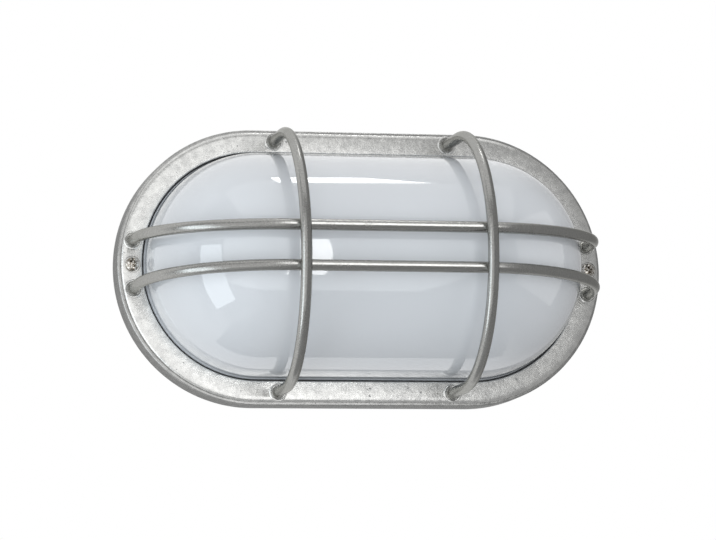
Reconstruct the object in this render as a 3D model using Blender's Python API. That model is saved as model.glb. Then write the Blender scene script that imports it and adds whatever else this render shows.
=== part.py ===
"""Oval bulkhead wall lamp: a cast housing and front frame that clamp a deep glass dome,
a guard of four round wires over it, and the lamp holder, bulb and terminals inside.

The pieces are laid out in the lamp's own directions: x along the lamp, y up the wall
and z off the wall. One empty then turns them up, so that in the world +X runs along
the lamp, +Z is up, the wall is the plane y = 0 and the dome faces -Y.
All sizes are in metres."""

from math import acos, cos, pi, radians, sin, sqrt

import bmesh
import bpy
from mathutils import Vector

# Gap that pieces which touch keep between their faces
touch_gap = 0.0003
# How far a cutter runs past the face it cuts
overrun = 0.001

# Plan of the lamp: a straight middle with a half circle at each end
half_straight = 0.0597
glass_radius = 0.0610
glass_gap = 0.0014
rim_width = 0.0112
frame_step = 0.0017
wall_thickness = 0.0030

# Heights off the wall
face_height = 0.0180
frame_thickness = 0.0030
glass_seal_thickness = 0.0008
flange_thickness = 0.0025
ledge_seal_thickness = 0.0015
plate_thickness = 0.0035
ledge_roof = 0.0035
ledge_wall = 0.0035

# Front frame, whose face rolls gently over its outer edge, and the rim that shows around it
frame_edge_width = 0.0030
frame_edge_drop = 0.0010
opening_chamfer = 0.0006
rim_edge_radius = 0.0008

# Glass dome
dome_height = 0.0705
glass_wall = 0.0035
flange_width = 0.0034
flange_clearance = 0.0003
ledge_inset = 0.0005

# Guard wires
wire_radius = 0.0030
wire_inset = 0.0051
guard_clearance = 0.0044
hoop_setback = 0.0112
hoop_splay = 0.0019
hoop_leg = 0.0230
long_wire_spacing = 0.0264
long_wire_lean = 0.0025
long_wire_left_leg = 0.0130
long_wire_left_bend = 0.0719
long_wire_right_leg = 0.0030
long_wire_right_bend = 0.0819

# Cover screws
cover_screw_land = 0.0031
cover_screw_shank = 0.0020
cover_screw_head = 0.0039
cover_screw_head_height = 0.0026
cover_screw_roof = 0.0025
spotface_margin = 0.0005
spotface_depth = 0.0006
recess_width = 0.0010
recess_length = 0.0044
recess_depth = 0.0014

# Clearance around every screw's shank
screw_clearance = 0.0003

# Lamp holder and bulb, on one axis along x
lamp_axis_height = 0.0460
bracket_inset = 0.0197
bracket_foot_length = 0.0180
bracket_width = 0.0360
bracket_thickness = 0.0015
bracket_headroom = 0.0160
pad_height = 0.0045
pad_radius = 0.0045
pad_floor = 0.0015
bracket_screw_spacing = 0.0220
bracket_screw_shank = 0.0020
bracket_screw_head = 0.0037
bracket_screw_head_height = 0.0022
holder_wall = 0.0053
holder_collar_step = 0.0015
holder_collar_length = 0.0120
holder_base = 0.0140
holder_screw_spacing = 0.0240
holder_screw_shank = 0.0015
holder_screw_head = 0.0028
holder_screw_head_height = 0.0018
holder_screw_depth = 0.0080
cap_radius = 0.0131
cap_length = 0.0260
cap_clearance = 0.0004
shell_thickness = 0.0004
shell_margin = 0.0030
contact_radius = 0.0050
contact_thickness = 0.0030
bulb_radius = 0.0300
bulb_length = 0.1080
bulb_neck_step = 0.0017
bulb_tip_radius = 0.0045
bulb_tip_length = 0.0035
cap_rim = 0.0008
neck_length = 0.0060
crown_depth = 0.0120
shoulder_bend = 1.3

# Terminal block
block_setback = 0.0250
block_end = 0.0050
block_depth = 0.0160
block_height = 0.0140
block_edge = 0.0008
block_screw_shank = 0.0015
block_screw_head = 0.0026
block_screw_head_height = 0.0016
block_screw_floor = 0.0010
pole_pitch = 0.0100
pole_edge = 0.0038
wire_hole_radius = 0.0017
wire_hole_height = 0.0060
terminal_screw_radius = 0.0019
terminal_screw_length = 0.0046
terminal_screw_sunk = 0.0006

# Earth terminal
earth_offset = 0.0103
earth_inset = 0.0200
earth_screw_shank = 0.0020
earth_screw_head = 0.0037
earth_screw_head_height = 0.0024
earth_washer_radius = 0.0050
earth_washer_thickness = 0.0010

# Slot of the slotted screws
slot_width = 0.0008
slot_depth = 0.0007

# Cable entry and wall fixing holes
entry_inset = 0.0177
entry_radius = 0.0090
grommet_flange = 0.0025
grommet_flange_height = 0.0015
grommet_dome = 0.0020
fixing_radius = 0.0026
fixing_setback = 0.0247
fixing_inset = 0.0180

# Fineness of the faceted curves
end_steps = 20
dome_steps = 12
edge_steps = 4
rim_edge_steps = 2
wire_sides = 12
wire_leg_steps = 2
wire_bend_steps = 16
shoulder_steps = 5
crown_steps = 10
small_steps = 16
round_steps = 32
sharp_angle = radians(40)
weld_distance = 1e-7

# Radii from the middle line of the plan
opening_radius = glass_radius + glass_gap
frame_radius = opening_radius + rim_width
outer_radius = frame_radius + frame_step
wire_ring_radius = frame_radius - wire_inset
flange_radius = glass_radius + flange_width
rebate_radius = flange_radius + flange_clearance
ledge_radius = glass_radius - glass_wall + ledge_inset
groove_inner_radius = ledge_radius + ledge_wall
groove_outer_radius = outer_radius - wall_thickness

# Heights of the stack between housing and frame
frame_underside = face_height - frame_thickness
rim_height = frame_underside - touch_gap
glass_seal_top = frame_underside - touch_gap
glass_seal_bottom = glass_seal_top - glass_seal_thickness
flange_top = glass_seal_bottom - touch_gap
flange_bottom = flange_top - flange_thickness
ledge_seal_top = flange_bottom - touch_gap
ledge_seal_bottom = ledge_seal_top - ledge_seal_thickness
ledge_height = ledge_seal_bottom - touch_gap
groove_depth = ledge_height - ledge_roof

# Middle lines of the guard wires: the hoops cross just over the long wires
long_wire_foot_y = long_wire_spacing / 2
long_wire_foot_x = half_straight + sqrt(wire_ring_radius**2 - long_wire_foot_y**2)
long_wire_crest = face_height + dome_height + guard_clearance + wire_radius
crossing_y = long_wire_foot_y - long_wire_lean
crossing_height = long_wire_crest + 2 * wire_radius + touch_gap
hoop_rise = crossing_height - face_height - hoop_leg
hoop_crest = face_height + hoop_leg + hoop_rise / sqrt(1 - (crossing_y / wire_ring_radius) ** 2)
hoop_foot_x = half_straight - hoop_setback

# Places that several pieces share
cover_screw_x = half_straight + rebate_radius + cover_screw_land
cover_screw_seat = face_height - spotface_depth
cover_screw_floor = groove_depth + cover_screw_roof
spotface_radius = cover_screw_head + spotface_margin
plate_end = half_straight + ledge_radius
bracket_end = bracket_inset - plate_end
entry_x = plate_end - entry_inset
block_centre = entry_x - block_setback
earth_x = half_straight + earth_offset
earth_y = earth_inset - ledge_radius
fixing_x = half_straight - fixing_setback
fixing_y = ledge_radius - fixing_inset
pad_top = plate_thickness + pad_height
bracket_screw_x = bracket_end + bracket_foot_length / 2
bracket_face = bracket_end + bracket_foot_length
holder_start = bracket_face + touch_gap
cavity_start = holder_start + holder_base
contact_start = cavity_start + touch_gap
bulb_start = contact_start + contact_thickness + touch_gap
cap_end = bulb_start + cap_length
shell_radius = cap_radius + cap_clearance
cavity_radius = shell_radius + shell_thickness + touch_gap
holder_radius = cavity_radius + holder_wall
holder_collar_radius = holder_radius + holder_collar_step
bulb_neck_radius = cap_radius + bulb_neck_step
block_top = plate_thickness + touch_gap + block_height
block_length = 2 * (pole_pitch + block_end)
pole_hole_radius = terminal_screw_radius + screw_clearance
pole_hole_depth = block_height - wire_hole_height
pole_reach = block_depth / 2 - pole_edge

# Middle of the back face
centre = (0, 0, 0)
# Turns of a piece whose own z axis points off the wall, along x or against x
upright = (0, 0, 0)
along_x = (0, pi / 2, 0)
against_x = (0, -pi / 2, 0)


def clear_scene():
    for leftover in list(bpy.data.objects):
        bpy.data.objects.remove(leftover, do_unlink=True)


def material(name, colour, metallic, roughness):
    made = bpy.data.materials.new(name)
    made.use_nodes = True
    shader = made.node_tree.nodes["Principled BSDF"]
    shader.inputs["Base Color"].default_value = (*colour, 1)
    shader.inputs["Metallic"].default_value = metallic
    shader.inputs["Roughness"].default_value = roughness
    return made


def place(name, data, finish, location=centre, rotation=upright):
    """An object of the lamp, at its place in the lamp's own directions."""
    data.materials.append(finish)
    piece = bpy.data.objects.new(name, data)
    piece.location = location
    piece.rotation_euler = rotation
    piece.parent = lamp
    bpy.context.collection.objects.link(piece)
    return piece


def solid(name, form, finish, location=centre, rotation=upright):
    """An object from a bmesh, with its doubled points merged and its faces turned outwards."""
    bmesh.ops.remove_doubles(form, verts=form.verts, dist=weld_distance)
    bmesh.ops.recalc_face_normals(form, faces=form.faces)
    mesh = bpy.data.meshes.new(name)
    form.to_mesh(mesh)
    form.free()
    mesh.shade_smooth()
    mesh.set_sharp_from_angle(angle=sharp_angle)
    return place(name, mesh, finish, location, rotation)


def join_rows(form, rows, closed):
    """Bridges rows of points, each a closed loop, in order."""
    pairs = list(zip(rows, rows[1:]))
    if closed:
        pairs.append((rows[-1], rows[0]))
    for low, high in pairs:
        for step in range(len(low)):
            after = (step + 1) % len(low)
            form.faces.new((low[step], low[after], high[after], high[step]))


def stadium(radius):
    """Points of the plan's outline at this distance from its middle line, anticlockwise."""
    points = []
    for side, start in ((1, -pi / 2), (-1, pi / 2)):
        for step in range(end_steps + 1):
            angle = start + pi * step / end_steps
            points.append((side * half_straight + radius * cos(angle), radius * sin(angle)))
    return points


def plan_sweep(name, section, finish, closed=True, capped=False):
    """Carries a section of (distance from the middle line, height) points around the plan."""
    form = bmesh.new()
    rows = [[form.verts.new((x, y, height)) for x, y in stadium(radius)] for radius, height in section]
    join_rows(form, rows, closed)
    if capped:
        form.faces.new(rows[0])
        form.faces.new(rows[-1])
    return solid(name, form, finish)


def turned(name, profile, finish, location, rotation=upright, steps=small_steps, closed=False):
    """Turns a profile of (radius, height) points around its own z axis. An end of the
    profile that is off the axis is closed with a flat face."""
    form = bmesh.new()
    rows = []
    for radius, height in profile:
        angles = [2 * pi * step / steps for step in range(steps)]
        rows.append([form.verts.new((radius * cos(a), radius * sin(a), height)) for a in angles])
    join_rows(form, rows, closed)
    for row, (radius, height) in ((rows[0], profile[0]), (rows[-1], profile[-1])):
        if radius > 0 and not closed:
            form.faces.new(row)
    return solid(name, form, finish, location, rotation)


def block(name, low, high, finish):
    form = bmesh.new()
    bmesh.ops.create_cube(form, size=1)
    bmesh.ops.scale(form, vec=Vector(high) - Vector(low), verts=form.verts)
    middle = (Vector(low) + Vector(high)) / 2
    return solid(name, form, finish, middle)


def arc(centre, across, along, start, end, steps):
    """Points of an elliptic arc in a section, from one angle to another."""
    points = []
    for step in range(steps + 1):
        angle = start + (end - start) * step / steps
        points.append((centre[0] + across * cos(angle), centre[1] + along * sin(angle)))
    return points


def helper(piece):
    piece.hide_render = True
    piece.display_type = "WIRE"
    return piece


def combine(piece, other, operation):
    change = piece.modifiers.new(other.name, "BOOLEAN")
    change.operation = operation
    change.solver = "EXACT"
    change.object = helper(other)


def cut_hole(piece, name, radius, location, length, rotation=upright, steps=small_steps):
    """Drills a round hole from this place along the rotated z axis."""
    drill = turned(name, [(radius, 0), (radius, length)], cutter_finish, location, rotation, steps)
    combine(piece, drill, "DIFFERENCE")


def guard_wire(name, path):
    """A round wire with flat ends along a path of points."""
    curve = bpy.data.curves.new(name, "CURVE")
    curve.dimensions = "3D"
    curve.bevel_depth = wire_radius
    curve.bevel_resolution = wire_sides // 2 - 2
    curve.use_fill_caps = True
    spline = curve.splines.new("POLY")
    spline.points.add(len(path) - 1)
    for point, place_of_point in zip(spline.points, path):
        point.co = (*place_of_point, 1)
    spline.use_smooth = True
    return place(name, curve, wire_steel)


def half_arch(foot, leg, bend, crest):
    """(distance along, height) points of half an arch, from the frame's underside up
    to the crest: a straight leg, then an elliptic bend that is this long."""
    straight = face_height + leg - frame_underside
    points = [(foot, frame_underside + straight * step / wire_leg_steps) for step in range(wire_leg_steps)]
    middle = (foot - bend, face_height + leg)
    return points + arc(middle, bend, crest - face_height - leg, 0, pi / 2, wire_bend_steps)


def joined_arch(left, right):
    """Two half arches as one path, from the left foot to the right foot."""
    return [(-along, height) for along, height in left] + right[::-1]


def leaned(height, crest, amount):
    """How far a wire leans sideways at this height, in a straight line from the face to its crest."""
    return amount * max(0, height - face_height) / (crest - face_height)


def make_guard():
    half = half_arch(wire_ring_radius, hoop_leg, wire_ring_radius, hoop_crest)
    hoop = joined_arch(half, half[:-1])
    for side, word in ((-1, "left"), (1, "right")):
        path = []
        for y, height in hoop:
            x = side * (hoop_foot_x + leaned(height, hoop_crest, hoop_splay))
            path.append((x, y, height))
        guard_wire("guard_hoop_" + word, path)
    left = half_arch(long_wire_foot_x, long_wire_left_leg, long_wire_left_bend, long_wire_crest)
    right = half_arch(long_wire_foot_x, long_wire_right_leg, long_wire_right_bend, long_wire_crest)
    span = joined_arch(left, right)
    for side, word in ((1, "upper"), (-1, "lower")):
        path = []
        for x, height in span:
            y = side * (long_wire_foot_y - leaned(height, long_wire_crest, long_wire_lean))
            path.append((x, y, height))
        guard_wire("guard_wire_" + word, path)


def make_front_frame():
    section = [(opening_radius, frame_underside), (frame_radius, frame_underside)]
    middle = (frame_radius - frame_edge_width, face_height - frame_edge_drop)
    section += arc(middle, frame_edge_width, frame_edge_drop, 0, pi / 2, edge_steps)
    section += [
        (opening_radius + opening_chamfer, face_height),
        (opening_radius, face_height - opening_chamfer),
    ]
    frame = plan_sweep("front_frame", section, cast_metal)
    sockets = [(x * hoop_foot_x, y * wire_ring_radius) for x in (-1, 1) for y in (-1, 1)]
    sockets += [(x * long_wire_foot_x, y * long_wire_foot_y) for x in (-1, 1) for y in (-1, 1)]
    for number, (x, y) in enumerate(sockets, 1):
        start = (x, y, frame_underside - overrun)
        cut_hole(frame, f"socket_{number}", wire_radius + touch_gap, start, frame_thickness + 2 * overrun)
    for side, word in ((-1, "left"), (1, "right")):
        bore = cover_screw_shank + screw_clearance
        profile = [
            (bore, frame_underside - overrun),
            (bore, cover_screw_seat),
            (spotface_radius, cover_screw_seat),
            (spotface_radius, face_height + overrun),
        ]
        cutter = turned("spotface_" + word, profile, cutter_finish, (side * cover_screw_x, 0, 0), steps=24)
        combine(frame, cutter, "DIFFERENCE")


def make_housing():
    rim_corner = (outer_radius - rim_edge_radius, rim_height - rim_edge_radius)
    section = [
        (ledge_radius, plate_thickness),
        (ledge_radius, ledge_height),
        (rebate_radius, ledge_height),
        (rebate_radius, rim_height),
        *arc(rim_corner, rim_edge_radius, rim_edge_radius, pi / 2, 0, rim_edge_steps),
        (outer_radius, 0),
        (groove_outer_radius, 0),
        (groove_outer_radius, groove_depth),
        (groove_inner_radius, groove_depth),
        (groove_inner_radius, 0),
    ]
    housing = plan_sweep("back_housing", section, cast_metal, closed=False, capped=True)
    root = plate_thickness / 2
    pads = [(bracket_screw_x, side * bracket_screw_spacing / 2) for side in (-1, 1)]
    pads.append((earth_x, earth_y))
    for number, (x, y) in enumerate(pads, 1):
        pad = turned(f"pad_{number}", [(pad_radius, root), (pad_radius, pad_top)], cutter_finish, (x, y, 0))
        combine(housing, pad, "UNION")
        bore = bracket_screw_shank + screw_clearance
        cut_hole(housing, f"pad_bore_{number}", bore, (x, y, pad_floor), pad_top + overrun - pad_floor)
    for side, word in ((-1, "left"), (1, "right")):
        bore = cover_screw_shank + screw_clearance
        deep = rim_height + overrun - cover_screw_floor
        cut_hole(housing, "rim_bore_" + word, bore, (side * cover_screw_x, 0, cover_screw_floor), deep)
    bore = block_screw_shank + screw_clearance
    deep = plate_thickness + overrun - block_screw_floor
    cut_hole(housing, "block_bore", bore, (block_centre, pole_pitch / 2, block_screw_floor), deep)
    through = plate_thickness + 2 * overrun
    cut_hole(housing, "cable_entry", entry_radius, (entry_x, 0, -overrun), through, steps=24)
    for number, (x, y) in enumerate([(-1, -1), (1, -1), (1, 1), (-1, 1)], 1):
        centre = (x * fixing_x, y * fixing_y, -overrun)
        cut_hole(housing, f"fixing_hole_{number}", fixing_radius, centre, through)


def make_glass():
    middle = (0, face_height)
    inner = arc(middle, glass_radius - glass_wall, dome_height - glass_wall, pi / 2, 0, dome_steps)
    outer = arc(middle, glass_radius, dome_height, 0, pi / 2, dome_steps)
    flange = [
        (glass_radius - glass_wall, flange_bottom),
        (flange_radius, flange_bottom),
        (flange_radius, flange_top),
        (glass_radius, flange_top),
    ]
    plan_sweep("glass_diffuser", inner + flange + outer, opal_glass, closed=False)


def make_seals():
    seals = (
        ("glass_seal", glass_radius + touch_gap, flange_radius, glass_seal_bottom, glass_seal_top),
        ("ledge_seal", ledge_radius, flange_radius, ledge_seal_bottom, ledge_seal_top),
    )
    for name, inner, outer, bottom, top in seals:
        section = [(inner, bottom), (outer, bottom), (outer, top), (inner, top)]
        plan_sweep(name, section, black_rubber)


def pan_head(radius, height):
    """(radius, height) points of a domed screw head, from its top middle to its seat."""
    shoulder = height / 2
    top = arc((0, shoulder), radius, height - shoulder, pi / 2, 0, edge_steps)
    return top + [(radius, 0)]


def screw(name, location, rotation, head, shank, length, steps=small_steps):
    """A screw whose seat is at its origin and whose shank runs down its own -z."""
    head_radius, head_height = head
    profile = pan_head(head_radius, head_height)
    profile += [(shank, 0), (shank, -length)]
    return turned(name, profile, bright_steel, location, rotation, steps)


def cut_slot(piece, across, top):
    """A screwdriver slot across a head, in the directions of the head's object."""
    form = bmesh.new()
    bmesh.ops.create_cube(form, size=1)
    bmesh.ops.scale(form, vec=(2 * across + overrun, slot_width, 2 * slot_depth), verts=form.verts)
    bmesh.ops.translate(form, vec=(0, 0, top), verts=form.verts)
    cutter = solid(piece.name + "_slot", form, cutter_finish, piece.location, piece.rotation_euler)
    combine(piece, cutter, "DIFFERENCE")


def cut_cross(piece, top):
    """A cross recess in a head."""
    for number, size in enumerate(((recess_length, recess_width), (recess_width, recess_length)), 1):
        form = bmesh.new()
        bmesh.ops.create_cube(form, size=1)
        bmesh.ops.scale(form, vec=(*size, 2 * recess_depth), verts=form.verts)
        bmesh.ops.translate(form, vec=(0, 0, top), verts=form.verts)
        cutter = solid(f"{piece.name}_recess_{number}", form, cutter_finish, piece.location)
        combine(piece, cutter, "DIFFERENCE")


def make_cover_screws():
    seat = cover_screw_seat + touch_gap
    length = seat - cover_screw_floor - touch_gap
    head = (cover_screw_head, cover_screw_head_height)
    for side, word in ((-1, "left"), (1, "right")):
        spot = (side * cover_screw_x, 0, seat)
        made = screw("cover_screw_" + word, spot, upright, head, cover_screw_shank, length, 24)
        cut_cross(made, cover_screw_head_height)


def make_bracket():
    """Steel angle: a foot on the two pads, and an upright that carries the holder."""
    bottom = pad_top + touch_gap
    top = lamp_axis_height + bracket_headroom
    outline = [
        (bracket_end, bottom),
        (bracket_face, bottom),
        (bracket_face, top),
        (bracket_face - bracket_thickness, top),
        (bracket_face - bracket_thickness, bottom + bracket_thickness),
        (bracket_end, bottom + bracket_thickness),
    ]
    form = bmesh.new()
    edges = (-bracket_width / 2, bracket_width / 2)
    rows = [[form.verts.new((x, y, height)) for x, height in outline] for y in edges]
    join_rows(form, rows, False)
    form.faces.new(rows[0])
    form.faces.new(rows[1])
    bracket = solid("lampholder_bracket", form, zinc_steel)
    foot_top = bottom + bracket_thickness
    for side, word in ((-1, "lower"), (1, "upper")):
        y = side * bracket_screw_spacing / 2
        bore = bracket_screw_shank + screw_clearance
        start = (bracket_screw_x, y, bottom - overrun)
        cut_hole(bracket, "foot_bore_" + word, bore, start, bracket_thickness + 2 * overrun)
        head = (bracket_screw_head, bracket_screw_head_height)
        seat = foot_top + touch_gap
        length = seat - pad_floor - touch_gap
        spot = (bracket_screw_x, y, seat)
        screw("bracket_screw_" + word, spot, upright, head, bracket_screw_shank, length)
        y = side * holder_screw_spacing / 2
        bore = holder_screw_shank + screw_clearance
        start = (bracket_face - bracket_thickness - overrun, y, lamp_axis_height)
        cut_hole(bracket, "upright_bore_" + word, bore, start, bracket_thickness + 2 * overrun, along_x)
        head = (holder_screw_head, holder_screw_head_height)
        seat_x = bracket_face - bracket_thickness - touch_gap
        length = holder_start + holder_screw_depth - seat_x
        spot = (seat_x, y, lamp_axis_height)
        screw("holder_screw_" + word, spot, against_x, head, holder_screw_shank, length)


def make_holder():
    length = cap_end - cap_rim - holder_start
    profile = [
        (holder_collar_radius, 0),
        (holder_collar_radius, holder_collar_length),
        (holder_radius, holder_collar_length),
        (holder_radius, length),
        (cavity_radius, length),
        (cavity_radius, holder_base),
    ]
    start = (holder_start, 0, lamp_axis_height)
    body = turned("lampholder_body", profile, glazed_white, start, along_x, round_steps)
    for side, word in ((-1, "lower"), (1, "upper")):
        bore = holder_screw_shank + screw_clearance
        spot = (holder_start - overrun, side * holder_screw_spacing / 2, lamp_axis_height)
        deep = holder_screw_depth + touch_gap + overrun
        cut_hole(body, "holder_bore_" + word, bore, spot, deep, along_x)
    shell_end = cap_length - shell_margin
    section = [
        (shell_radius, shell_margin),
        (shell_radius + shell_thickness, shell_margin),
        (shell_radius + shell_thickness, shell_end),
        (shell_radius, shell_end),
    ]
    start = (bulb_start, 0, lamp_axis_height)
    turned("lampholder_shell", section, nickel, start, along_x, round_steps, closed=True)
    start = (contact_start, 0, lamp_axis_height)
    disc = [(contact_radius, 0), (contact_radius, contact_thickness)]
    turned("lampholder_centre_contact", disc, brass_metal, start, along_x)


def make_bulb():
    """Bulb as one solid: contact tip, cap, neck, shoulder and a round crown."""
    shoulder_start = cap_length + neck_length
    globe_middle = bulb_length - bulb_radius
    shoulder_length = globe_middle - crown_depth - shoulder_start
    meet = sqrt(bulb_radius**2 - crown_depth**2)
    profile = [(bulb_tip_radius, 0), (bulb_tip_radius + bulb_tip_length, bulb_tip_length)]
    profile += [(cap_radius, bulb_tip_length), (cap_radius, cap_length - cap_rim)]
    profile += [(bulb_neck_radius, cap_length), (bulb_neck_radius, shoulder_start)]
    for step in range(1, shoulder_steps):
        share = step / shoulder_steps
        radius = bulb_neck_radius + (meet - bulb_neck_radius) * share**shoulder_bend
        profile.append((radius, shoulder_start + shoulder_length * share))
    start = -acos(meet / bulb_radius)
    profile += arc((0, globe_middle), bulb_radius, bulb_radius, start, pi / 2, crown_steps)
    turned("bulb", profile, opal_glass, (bulb_start, 0, lamp_axis_height), along_x, round_steps)


def make_terminals():
    low = (block_centre - block_depth / 2, -block_length / 2, plate_thickness + touch_gap)
    high = (block_centre + block_depth / 2, block_length / 2, block_top)
    body = block("terminal_block", low, high, white_plastic)
    bevel = body.modifiers.new("edges", "BEVEL")
    bevel.width = block_edge
    bevel.segments = 1
    number = 0
    for pole in (-1, 0, 1):
        y = pole * pole_pitch
        start = (low[0] - overrun, y, low[2] + wire_hole_height)
        through = block_depth + 2 * overrun
        cut_hole(body, f"wire_hole_{pole + 2}", wire_hole_radius, start, through, along_x, 12)
        for side in (-1, 1):
            number += 1
            x = block_centre + side * pole_reach
            bottom = block_top - pole_hole_depth
            deep = pole_hole_depth + overrun
            cut_hole(body, f"pole_hole_{number}", pole_hole_radius, (x, y, bottom), deep, steps=12)
            top = block_top - terminal_screw_sunk
            stud = [(terminal_screw_radius, -terminal_screw_length), (terminal_screw_radius, 0)]
            made = turned(f"terminal_screw_{number}", stud, brass_metal, (x, y, top), steps=12)
            cut_slot(made, terminal_screw_radius, 0)
    y = pole_pitch / 2
    start = (block_centre, y, low[2] - overrun)
    bore = block_screw_shank + screw_clearance
    cut_hole(body, "block_bore_through", bore, start, block_height + 2 * overrun)
    seat = block_top + touch_gap
    length = seat - block_screw_floor - touch_gap
    head = (block_screw_head, block_screw_head_height)
    screw("terminal_block_screw", (block_centre, y, seat), upright, head, block_screw_shank, length)


def make_earth_terminal():
    bottom = pad_top + touch_gap
    bore = earth_screw_shank + screw_clearance
    top = bottom + earth_washer_thickness
    section = [(bore, bottom), (earth_washer_radius, bottom), (earth_washer_radius, top), (bore, top)]
    turned("earth_washer", section, brass_metal, (earth_x, earth_y, 0), closed=True)
    seat = top + touch_gap
    head = (earth_screw_head, earth_screw_head_height)
    length = seat - pad_floor - touch_gap
    made = screw("earth_screw", (earth_x, earth_y, seat), upright, head, earth_screw_shank, length)
    cut_slot(made, earth_screw_head, earth_screw_head_height)


def make_grommet():
    """Rubber plug pressed into the cable entry from inside, with a closed skin."""
    flange_bottom_height = plate_thickness + touch_gap
    flange_top_height = flange_bottom_height + grommet_flange_height
    neck = entry_radius - touch_gap
    profile = [(neck, touch_gap), (neck, flange_bottom_height)]
    brim = entry_radius + grommet_flange
    profile += [(brim, flange_bottom_height), (brim, flange_top_height)]
    profile += arc((0, flange_top_height), neck, grommet_dome, 0, pi / 2, edge_steps)
    turned("cable_grommet", profile, black_rubber, (entry_x, 0, 0), steps=24)


clear_scene()
lamp = bpy.data.objects.new("wall_lamp", None)
lamp.rotation_euler = (pi / 2, 0, 0)
bpy.context.collection.objects.link(lamp)

cast_metal = material("cast_metal", (0.56, 0.56, 0.55), 0.9, 0.45)
wire_steel = material("wire_steel", (0.45, 0.45, 0.44), 1.0, 0.35)
bright_steel = material("bright_steel", (0.70, 0.68, 0.65), 1.0, 0.20)
zinc_steel = material("zinc_steel", (0.60, 0.61, 0.62), 1.0, 0.35)
opal_glass = material("opal_glass", (0.86, 0.88, 0.90), 0.0, 0.08)
black_rubber = material("black_rubber", (0.02, 0.02, 0.02), 0.0, 0.70)
glazed_white = material("glazed_white", (0.80, 0.79, 0.76), 0.0, 0.25)
nickel = material("nickel", (0.66, 0.63, 0.57), 1.0, 0.30)
brass_metal = material("brass_metal", (0.75, 0.58, 0.28), 1.0, 0.30)
white_plastic = material("white_plastic", (0.80, 0.80, 0.78), 0.0, 0.45)
cutter_finish = material("cutter", (0.80, 0.10, 0.10), 0.0, 0.50)

make_guard()
make_front_frame()
make_housing()
make_glass()
make_seals()
make_cover_screws()
make_bracket()
make_holder()
make_bulb()
make_terminals()
make_earth_terminal()
make_grommet()
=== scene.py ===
# %% [markdown]
# # An oval wall lamp in a wire guard
# The lamp is a cast metal housing that hangs on the wall. A cast ring clamps a deep dome
# of opal glass on it, and four round wires guard the glass. The measured model is loaded
# first and stays as it is: it has the exact places of all pieces. Each piece that shows
# is then replaced by a finer shape, and each one inside gets a better finish.

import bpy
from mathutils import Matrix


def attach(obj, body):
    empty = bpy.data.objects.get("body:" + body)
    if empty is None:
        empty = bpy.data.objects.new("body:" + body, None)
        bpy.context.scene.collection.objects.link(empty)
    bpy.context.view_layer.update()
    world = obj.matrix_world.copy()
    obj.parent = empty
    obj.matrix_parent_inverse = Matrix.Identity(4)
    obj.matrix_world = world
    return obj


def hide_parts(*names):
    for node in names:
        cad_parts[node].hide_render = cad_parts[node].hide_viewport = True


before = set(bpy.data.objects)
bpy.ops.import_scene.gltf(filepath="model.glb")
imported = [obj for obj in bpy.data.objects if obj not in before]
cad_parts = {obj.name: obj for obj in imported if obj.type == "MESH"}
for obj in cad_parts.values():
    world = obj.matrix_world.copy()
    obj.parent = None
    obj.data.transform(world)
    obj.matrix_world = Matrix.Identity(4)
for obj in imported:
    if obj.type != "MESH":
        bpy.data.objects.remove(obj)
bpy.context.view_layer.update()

# %% Blender's own modules
from math import cos, pi, radians, sin, sqrt

import bmesh
import bpy
from mathutils import Matrix, Vector

# %% [markdown]
# ## Directions and main sizes
# All sizes are in metres. The wall is the plane y = 0, the dome faces -y, x runs along the
# lamp and z is up. A height off the wall is therefore a negative y. The outline is an oval
# with a straight middle and a half circle at each end, so each ring on the lamp is given by
# one number: its distance from the middle line. The values repeat those of the measured model.

# %% Main sizes
touch_gap = 0.0003
half_straight = 0.0597
glass_radius = 0.0610
opening_radius = 0.0624
ring_radius = 0.0736
housing_radius = 0.0753
wire_ring_radius = 0.0685
face_height = 0.0180
ring_underside = 0.0150
rim_height = 0.0147
dome_height = 0.0705
print("lamp length:", 2 * (half_straight + housing_radius))

# %% [markdown]
# ## Helpers for the oval pieces
# Ring, housing and glass are all one section carried around the oval, as a moulder sweeps a
# template around a core. A bevelled curve could do that too, but points set in code keep the
# exact radii. One helper gives the points of the oval at any distance from its middle line,
# and another bridges a row of such ovals into a skin.

# %% A point of the lamp
def spot(x, up, height):
    return Vector((x, -height, up))

# %% Points of the oval
oval_steps = 72
straight_steps = 24


def oval(radius, height):
    """Points of the outline at this distance from the middle line, in order around it."""
    points = []
    for side, start in ((1, -pi / 2), (-1, pi / 2)):
        for step in range(oval_steps + 1):
            angle = start + pi * step / oval_steps
            x = side * half_straight + radius * cos(angle)
            points.append(spot(x, radius * sin(angle), height))
        for step in range(1, straight_steps):
            x = side * half_straight * (1 - 2 * step / straight_steps)
            points.append(spot(x, side * radius, height))
    return points

# %% Skins of rows
def join_rows(form, rows, closed=False):
    """Bridges each row of points to the next one; closed also joins the last to the first."""
    pairs = list(zip(rows, rows[1:]))
    if closed:
        pairs.append((rows[-1], rows[0]))
    for low, high in pairs:
        for step in range(len(low)):
            after = (step + 1) % len(low)
            form.faces.new((low[step], low[after], high[after], high[step]))


def sweep_oval(section, closed=True, capped=False):
    """Carries a section of (distance from the middle line, height) points around the oval."""
    form = bmesh.new()
    rows = [[form.verts.new(point) for point in oval(radius, height)] for radius, height in section]
    join_rows(form, rows, closed)
    if capped:
        form.faces.new(rows[0])
        form.faces.new(rows[-1])
    return form

# %% Arcs of a section
def arc(centre, across, along, start, end, steps):
    """Points on an ellipse with the half axes across and along."""
    points = []
    for step in range(steps + 1):
        angle = start + (end - start) * step / steps
        points.append((centre[0] + across * cos(angle), centre[1] + along * sin(angle)))
    return points

# %% [markdown]
# ## Helpers for turned pieces and holes
# Screw heads, pressed rings and drills are turned: a profile runs once around an axis. Holes
# are cut with the Boolean modifier, which is then applied, so that the piece ends as a
# plain mesh.

# %% Turned forms
turn_steps = 48
off_wall = Vector((0, 0, 1)).rotation_difference(Vector((0, -1, 0))).to_matrix()


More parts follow.
